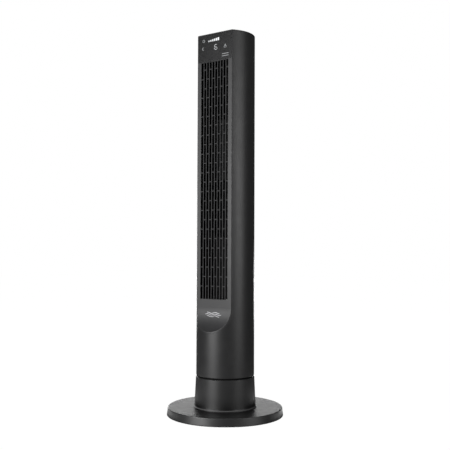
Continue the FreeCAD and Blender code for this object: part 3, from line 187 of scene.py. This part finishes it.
def moulded_plastic(name, color, roughness, grain=FINE_GRAIN, edge=SOFT_EDGE, specular=0.5):
    """Injection-moulded plastic with a fine spark-eroded grain."""
    made = Shader(name, color, roughness, specular=specular)
    made.mottle(40, 0.06)
    made.uneven_gloss(55, 0.03)
    made.relief(grain, GRAIN_DEPTH, edge)
    return made.material


def painted_shade_plastic(name, color, roughness, specular, axis, low, high, shade, painted_highlight=()):
    """Moulded plastic with shade painted into its colour where two parts meet, and a highlight painted as a
    lighter band along one edge.
    """
    made = Shader(name, color, roughness, specular=specular)
    made.uneven_gloss(55, 0.03)
    made.relief(FINE_GRAIN, GRAIN_DEPTH, SOFT_EDGE)
    # painted shade: the colour darkens towards low, where the parts meet
    mix = made.node("ShaderNodeMix", data_type="RGBA")
    mix.inputs["A"].default_value = (*[c * shade for c in color], 1)
    mix.inputs["B"].default_value = made.color
    made.link(made.ramp(axis, low, high, 0.0, 1.0), mix, "Factor")
    if not painted_highlight:
        made.link(mix.outputs["Result"], made.surface, "Base Color")
        return made.material
    # painted highlight: a lighter band of colour between the two given heights, standing in for light caught
    # by the edge
    edge = made.node("ShaderNodeMath", operation="MULTIPLY")
    made.link(made.ramp(axis, painted_highlight[0], painted_highlight[0] + LIP_BLEND, 0.0, 1.0), edge, 0)
    made.link(made.ramp(axis, painted_highlight[1], painted_highlight[1] + LIP_BLEND, 1.0, 0.0), edge, 1)
    lip_highlight = made.node("ShaderNodeMix", data_type="RGBA")
    lip_highlight.inputs["B"].default_value = (*[c * LIP_HIGHLIGHT for c in color], 1)
    made.link(mix.outputs["Result"], lip_highlight, "A")
    made.link(edge.outputs["Value"], lip_highlight, "Factor")
    made.link(lip_highlight.outputs["Result"], made.surface, "Base Color")
    return made.material


def grille_plastic(name, color, roughness):
    """Matt moulded plastic of the slotted grille, with shade painted into its colour inside its slots, and
    rougher there.
    """
    made = Shader(name, color, roughness, specular=0.1)
    made.relief(FINE_GRAIN, GRAIN_DEPTH, 0.2 * MM)
    # painted shade: the colour darkens with depth into the slots
    shade = made.node("ShaderNodeMix", data_type="RGBA")
    shade.inputs["A"].default_value = (*[c * SLOT_SHADE for c in color], 1)
    shade.inputs["B"].default_value = made.color
    face_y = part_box("front_grille")[0][1]
    begin, complete = (face_y + depth for depth in SLOT_DEPTHS)
    made.link(made.ramp("Y", begin, complete, 1.0, 0.0), shade, "Factor")
    made.link(shade.outputs["Result"], made.surface, "Base Color")
    made.link(made.ramp("Y", begin, complete, roughness, 1.0), made.surface, "Roughness")
    return made.material


def gloss_lens(name, color, roughness):
    """Smooth smoked acrylic with the faintest waviness."""
    made = Shader(name, color, roughness)
    made.mottle(25, 0.05)
    made.uneven_gloss(90, 0.02)
    made.relief(60, 4e-6, 0.3 * MM)
    return made.material


def metal(name, color, roughness, stretch=(1, 1, 1), grain=900, depth=3e-6):
    """Bare metal, its grain drawn out along the direction with the small stretch."""
    made = Shader(name, color, roughness, metallic=1.0)
    made.mottle(30, 0.08, stretch)
    made.uneven_gloss(grain / 4, 0.07, stretch)
    made.relief(grain, depth, 0.15 * MM, stretch)
    return made.material


def soft_rubber(name, color):
    made = Shader(name, color, 0.75, specular=0.35)
    made.mottle(120, 0.12)
    made.uneven_gloss(200, 0.08)
    made.relief(1800, 20e-6, 0.5 * MM)
    return made.material


def circuit_board(name, color):
    """Solder lacquer with copper tracks that show through as lighter lines."""
    made = Shader(name, color, 0.35)
    tracks = made.node("ShaderNodeTexBrick", offset=0.5)
    tracks.inputs["Scale"].default_value = 180
    tracks.inputs["Mortar Size"].default_value = 0.03
    tracks.inputs["Color1"].default_value = made.color
    tracks.inputs["Color2"].default_value = (*[c * 0.8 for c in color], 1)
    tracks.inputs["Mortar"].default_value = (0.16, 0.3, 0.12, 1)
    made.link(made.place, tracks, "Vector")
    made.link(tracks.outputs["Color"], made.surface, "Base Color")
    made.uneven_gloss(80, 0.05)
    made.relief(600, 8e-6)
    return made.material


def enamelled_wire(name, color):
    """Closely wound wire round the upright axis."""
    made = Shader(name, color, 0.3, metallic=0.9)
    made.mottle(200, 0.15, (1, 1, 4))
    made.relief(700, 60e-6, stretch=(1, 1, 5), detail=1.0)
    return made.material


def lamp(name, color, strength):
    """Printed mark that its lamp lights from behind, a little unevenly."""
    spread = 0.15
    made = Shader(name, [c * 0.1 for c in color], 0.3)
    made.surface.inputs["Emission Color"].default_value = (*color, 1)
    level = made.between(made.noise(400), strength * (1 - spread), strength * (1 + spread))
    made.link(level, made.surface, "Emission Strength")
    return made.material


def light_pipes(name, color):
    """Lit pipes of the display: the figure glows softly and the bars brighten from the first to the last."""
    made = Shader(name, [c * 0.2 for c in color], 0.3)
    made.surface.inputs["Emission Color"].default_value = (*color, 1)
    low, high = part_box("display_lights")
    rising = made.ramp("X", low[0], high[0], BAR_GLOW[0], BAR_GLOW[1])
    share = made.ramp("Z", high[2] - BARS_TO_FIGURE[1], high[2] - BARS_TO_FIGURE[0], 0.0, 1.0)
    glow = made.node("ShaderNodeMix", data_type="FLOAT")
    glow.inputs["A"].default_value = FIGURE_GLOW
    made.link(rising, glow, "B")
    made.link(share, glow, "Factor")
    made.link(glow.outputs["Result"], made.surface, "Emission Strength")
    return made.material


def add_materials():
    """The materials by name; most names are the record's slots."""
    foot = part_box("neck_shell")[0]
    return {
        # painted shade darkening the neck towards its foot, and a painted highlight on the lip just above the
        # foot
        "neck_plastic": painted_shade_plastic(
            "neck_plastic", BODY_COLOR, 0.40, specular=0.42, axis="Z", low=foot[2] - 4 * MM,
            high=foot[2] + 40 * MM, shade=0.1, painted_highlight=(foot[2] + 0.9 * MM, foot[2] + 3.0 * MM)),
        # painted shade on the base's top, darker towards the neck
        "base_plastic": painted_shade_plastic(
            "base_plastic", BODY_COLOR, 0.40, specular=0.5, axis="RADIUS", low=-foot[0],
            high=-foot[0] + 55 * MM, shade=0.15),
        "body_plastic": moulded_plastic("body_plastic", BODY_COLOR, 0.40),
        "fascia_plastic": moulded_plastic("fascia_plastic", (0.030, 0.030, 0.031), 0.42),
        "grille_plastic": grille_plastic("grille_plastic", (0.05, 0.05, 0.051), 0.5),
        "button_plastic": moulded_plastic("button_plastic", (0.04, 0.04, 0.042), 0.38, grain=2500),
        # these two are near-black, darker than real black plastic: painted shade for the fan's insides seen
        # through the grille's slots and the joint above the neck
        "dark_frame": moulded_plastic("dark_frame", (0.003, 0.003, 0.003), 0.7, edge=0, specular=0.1),
        "impeller_plastic": moulded_plastic(
            "impeller_plastic", (0.004, 0.004, 0.0042), 0.6, edge=0, specular=0.12),
        "switch_black": moulded_plastic("switch_black", (0.03, 0.03, 0.03), 0.45, edge=0),
        "acetal": moulded_plastic("acetal", (0.75, 0.75, 0.7), 0.35, grain=1500),
        "lens": gloss_lens("lens", (0.014, 0.014, 0.0145), 0.24),
        "badge_silver": metal("badge_silver", (0.38, 0.38, 0.39), 0.5, (0.1, 1, 1)),
        "bright_steel": metal("bright_steel", (0.66, 0.66, 0.67), 0.25, (1, 1, 8)),
        "ballast_steel": metal("ballast_steel", (0.32, 0.31, 0.3), 0.55),
        "zinc_screw": metal("zinc_screw", (0.55, 0.56, 0.58), 0.35),
        "motor_zinc": metal("motor_zinc", (0.55, 0.56, 0.58), 0.4, grain=300, depth=8e-6),
        "core_steel": metal("core_steel", (0.2, 0.2, 0.21), 0.5, (1, 1, 12), grain=250, depth=60e-6),
        "bronze": metal("bronze", (0.5, 0.33, 0.14), 0.5, grain=2500, depth=15e-6),
        "copper": enamelled_wire("copper", (0.62, 0.22, 0.08)),
        "rubber": soft_rubber("rubber", (0.015, 0.015, 0.015)),
        "circuit_green": circuit_board("circuit_green", (0.02, 0.12, 0.05)),
        "lamp_white": light_pipes("lamp_white", (0.96, 0.98, 1.0)),
        "mark_dim": lamp("mark_dim", (0.85, 0.88, 0.9), 0.15),
        "mark_bright": lamp("mark_bright", (0.85, 0.88, 0.9), 0.25),
        "ink_grey": moulded_plastic("ink_grey", (0.35, 0.35, 0.36), 0.5, edge=0),
    }


def dress_nodes(materials):
    """Gives every CAD node the material of its slot, and three pieces of the base another one."""
    slots = {part["node"]: part["material_slot"] for part in frame["record"]["subparts"]}
    # the neck and the base cover take the materials with painted shade, the neck also with a painted
    # highlight on its lip
    slots["neck_shell"] = "neck_plastic"
    slots["base_cover"] = "base_plastic"
    slots["base_bottom_plate"] = "body_plastic"
    for name, node in nodes.items():
        for slot in node.material_slots:
            slot.link = "OBJECT"
            slot.material = materials[slots[name]]


# ---------------------------------------------------------------- small marks, drawn in mm
PANEL_FACE_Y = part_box("display_panel")[0][1]
PANEL_MARK_HEIGHT = 0.08 * MM
BUTTONS = ("timer_button", "mode_button", "power_button", "speed_button", "swing_button")
BUTTON_MARK_HEIGHT = 0.1 * MM
ARC_STEPS = 32
MOON_STEPS = 16
MOON_START, MOON_SWEEP = 60, 240     # degrees, for both arcs of the moon
MOON_INNER, MOON_SWAY = 0.72, 0.55   # size and shift of its inner arc, as shares of the outer radius


def band(radius, width, start, end):
    """Outlines of a curved band round the origin, from one angle to another in degrees."""
    inner, outer = radius - width / 2, radius + width / 2
    quads = []
    for i in range(ARC_STEPS):
        a, b = (math.radians(start + (end - start) * (i + k) / ARC_STEPS) for k in (0, 1))
        quads.append([(r * math.cos(t), r * math.sin(t))
                      for r, t in ((inner, a), (outer, a), (outer, b), (inner, b))])
    return quads


def bar(start, end, width):
    """Outline of a straight stroke between two points."""
    along = Vector((end[0] - start[0], end[1] - start[1])).normalized()
    across = Vector((-along.y, along.x)) * width / 2
    ends = (Vector(start) - across, Vector(end) - across, Vector(end) + across, Vector(start) + across)
    return [[(p.x, p.y) for p in ends]]


def crescent(radius, shift):
    """Outlines of a moon, between an outer arc and a smaller one beside it."""
    def point(turn, share, sway):
        return radius * (share * math.cos(turn) + sway) + shift, radius * share * math.sin(turn)

    turns = [math.radians(MOON_START + MOON_SWEEP * i / MOON_STEPS) for i in range(MOON_STEPS + 1)]
    return [[point(a, 1, 0), point(b, 1, 0), point(b, MOON_INNER, MOON_SWAY), point(a, MOON_INNER, MOON_SWAY)]
            for a, b in zip(turns, turns[1:])]


def oval(width, height, stroke, lift):
    """Outlines of a flattened ring."""
    def point(turn, grow):
        return (width / 2 + grow) * math.cos(turn), (height / 2 + grow) * math.sin(turn) + lift

    turns = [2 * math.pi * i / ARC_STEPS for i in range(ARC_STEPS + 1)]
    return [[point(a, -stroke / 2), point(a, stroke / 2), point(b, stroke / 2), point(b, -stroke / 2)]
            for a, b in zip(turns, turns[1:])]


def raised_mark(name, outlines, origin, right, up, height, material, body):
    """Closed thin solid of flat outlines, laid on a face at origin and raised from it."""
    right, up = Vector(right), Vector(up)
    normal = right.cross(up)
    mesh = bmesh.new()
    for outline in outlines:
        corners = [mesh.verts.new(origin + (right * u + up * v) * MM) for u, v in outline]
        mesh.faces.new(corners)
    bmesh.ops.remove_doubles(mesh, verts=mesh.verts, dist=1e-6)
    grown = bmesh.ops.extrude_face_region(mesh, geom=mesh.faces[:])
    lifted = [v for v in grown["geom"] if isinstance(v, bmesh.types.BMVert)]
    bmesh.ops.translate(mesh, verts=lifted, vec=normal * height)
    bmesh.ops.recalc_face_normals(mesh, faces=mesh.faces)
    data = bpy.data.meshes.new(name)
    mesh.to_mesh(data)
    mesh.free()
    data.materials.append(material)
    piece = bpy.data.objects.new(name, data)
    scene.collection.objects.link(piece)
    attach(piece, body)


def add_panel_marks(dim, bright):
    """Plain marks that glow through the lens: a clock, a moon, a swing sign and two short strips."""
    clock = band(3.1, 1.1, 0, 360) + bar((0, 0.3), (0, 2.2), 0.9) + bar((0.6, 0.3), (2.0, 0.3), 0.9)
    moon = crescent(3.8, -0.9)
    swing = [[(-2.5, 1.2), (2.5, 1.2), (0.6, 5.0), (-0.6, 5.0)]] + oval(7.6, 3.6, 1.1, -1.4)
    strips = [[(-9.2, z), (9.2, z), (9.2, z + 1.6), (-9.2, z + 1.6)] for z in (-3.4, 1.8)]
    for name, outlines, x, z, material in (
        ("panel_clock", clock, -32.8, 898.0, bright),
        ("panel_moon", moon, -33.2, 879.6, dim),
        ("panel_swing", swing, 30.6, 877.5, bright),
        ("panel_strips", strips, 31.0, 857.2, bright),
    ):
        origin = Vector((x * MM, PANEL_FACE_Y, z * MM))
        raised_mark(name, outlines, origin, (1, 0, 0), (0, 0, 1), PANEL_MARK_HEIGHT,
                    material, "tower")


def add_button_marks(ink):
    """A plain pictogram on each button."""
    signs = {
        "timer_button": (band(2.6, 0.6, 0, 360) + bar((0, 0.2), (0, 1.8), 0.6)
                         + bar((0.5, 0.2), (1.7, 0.2), 0.6)),
        "mode_button": crescent(2.8, -0.5),
        "power_button": band(3.2, 0.8, 120, 420) + bar((0, 1.2), (0, 4.2), 0.8),
        "speed_button": [[(x - 0.5, -2), (x + 0.5, -2), (x + 0.5, top), (x - 0.5, top)]
                         for x, top in ((-2.1, -0.6), (0, 0.8), (2.1, 2.2))],
        "swing_button": [[(-1.3, 0.4), (1.3, 0.4), (0.2, 3.0), (-0.2, 3.0)]] + oval(5.4, 2.2, 0.6, -1.3),
    }
    for name in BUTTONS:
        low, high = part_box(name)
        origin = Vector(((low[0] + high[0]) / 2, (low[1] + high[1]) / 2, high[2]))
        raised_mark(name + "_mark", signs[name], origin, (1, 0, 0), (0, 1, 0), BUTTON_MARK_HEIGHT,
                    ink, name)


# ---------------------------------------------------------------- stage
FLOOR_HALF = 8.0
FLOOR_GAP = 0.5 * MM             # below the feet, so that the two faces don't coincide
AMBIENT = 0.045                  # what the object sees where there is no light
AIM_DOWN, AIM_LEVEL, AIM_UP = 0, math.pi / 2, math.pi
STUDIO_RADIUS = 3.0
BOX_WIDTH = 1.6                  # a softbox is this wide, or one and a half times that
WIDE_BOX_WIDTH = 1.5 * BOX_WIDTH
SOFTBOXES = (
    # name, azimuth from the camera's side in degrees, foot and head above the floor, width, power
    ("key", -50, 0.3, 0.8, BOX_WIDTH, 60),
    ("key_high", -45, 0.8, 1.6, WIDE_BOX_WIDTH, 30),
    ("fill", 55, 0.0, 1.6, BOX_WIDTH, 25),
    ("fill_high", 35, 0.8, 1.6, BOX_WIDTH, 9),
    ("back_low", 180, 0.0, 0.3, WIDE_BOX_WIDTH, 23),
    ("back_left", -155, 0.3, 0.8, BOX_WIDTH, 10),
    ("back_high", 180, 0.9, 1.7, BOX_WIDTH, 6),
)
TOP_CARD = (1.4, 0.6, 2.5)       # height, size and power of the card above the lid
UNDER_CARD = (-0.6, 0.25, 3.5)   # the same below the floor, narrower than the base that it lights
CARD_HEIGHT = 1 * MM
SMALL_CARD = (0.235, 0.15, 0.08)    # distance from the axis, size and power
FLOOR_CARDS = (
    # name, azimuth, distance from the axis, size, power: pale floor that the foot of the fan mirrors
    ("card_front", -45, 0.6, 0.7, 0.1),
    ("card_left", -90, *SMALL_CARD),
    ("card_left_back", -120, *SMALL_CARD),
    ("card_right", 90, *SMALL_CARD),
    ("card_right_back", 120, *SMALL_CARD),
)


def add_floor():
    """White floor that the camera sees, and that neither lights nor shades the object."""
    corners = [(x * FLOOR_HALF, y * FLOOR_HALF, 0) for x, y in ((-1, -1), (1, -1), (1, 1), (-1, 1))]
    data = bpy.data.meshes.new("floor")
    data.from_pydata(corners, [], [(0, 1, 2, 3)])
    floor = bpy.data.objects.new("floor", data)
    floor.location.z = -FLOOR_GAP
    scene.collection.objects.link(floor)
    floor.visible_glossy = False
    floor.visible_diffuse = False
    floor.visible_shadow = False
    made = Shader("floor_white", (0.02, 0.02, 0.02), 0.9, specular=0.0)
    made.surface.inputs["Emission Color"].default_value = (1, 1, 1, 1)
    made.surface.inputs["Emission Strength"].default_value = 1.0
    data.materials.append(made.material)


def add_world():
    """White to the camera and nearly dark to the object, as between the softboxes of a studio."""
    world = bpy.data.worlds.new("studio")
    world.use_nodes = True
    tree = world.node_tree
    seen = tree.nodes.new("ShaderNodeLightPath")
    shade = tree.nodes.new("ShaderNodeMix")
    shade.data_type = "RGBA"
    shade.inputs["A"].default_value = (AMBIENT, AMBIENT, AMBIENT, 1)
    shade.inputs["B"].default_value = (1, 1, 1, 1)
    tree.links.new(seen.outputs["Is Camera Ray"], shade.inputs["Factor"])
    tree.links.new(shade.outputs["Result"], tree.nodes["Background"].inputs["Color"])
    scene.world = world


def add_light(name, azimuth, distance, height, width, tall, power, aim):
    """Rectangular light that the camera doesn't see, at an azimuth counted from the camera's side."""
    data = bpy.data.lights.new(name, "AREA")
    data.shape = "RECTANGLE"
    data.size, data.size_y = width, tall
    data.energy = power
    light = bpy.data.objects.new(name, data)
    scene.collection.objects.link(light)
    turn = CAMERA_AZIMUTH + math.radians(azimuth)
    light.location = (distance * math.sin(turn), -distance * math.cos(turn), height)
    light.rotation_euler = (Matrix.Rotation(turn, 3, "Z") @ Matrix.Rotation(aim, 3, "X")).to_euler()
    light.visible_camera = False


def add_studio():
    add_floor()
    add_world()
    for name, azimuth, foot, head, width, power in SOFTBOXES:
        add_light(name, azimuth, STUDIO_RADIUS, (foot + head) / 2, width, head - foot, power, AIM_LEVEL)
    for name, azimuth, distance, size, power in FLOOR_CARDS:
        add_light(name, azimuth, distance, CARD_HEIGHT, size, size, power, AIM_UP)
    height, size, power = TOP_CARD
    add_light("top_card", 0, 0, height, size, size, power, AIM_DOWN)
    height, size, power = UNDER_CARD
    add_light("under_card", 0, 0, height, size, size, power, AIM_UP)


# ---------------------------------------------------------------- the whole picture
add_camera()
materials = add_materials()
dress_nodes(materials)
add_panel_marks(materials["mark_dim"], materials["mark_bright"])
add_button_marks(materials["ink_grey"])
add_studio()
scene.view_settings.view_transform = "Standard"
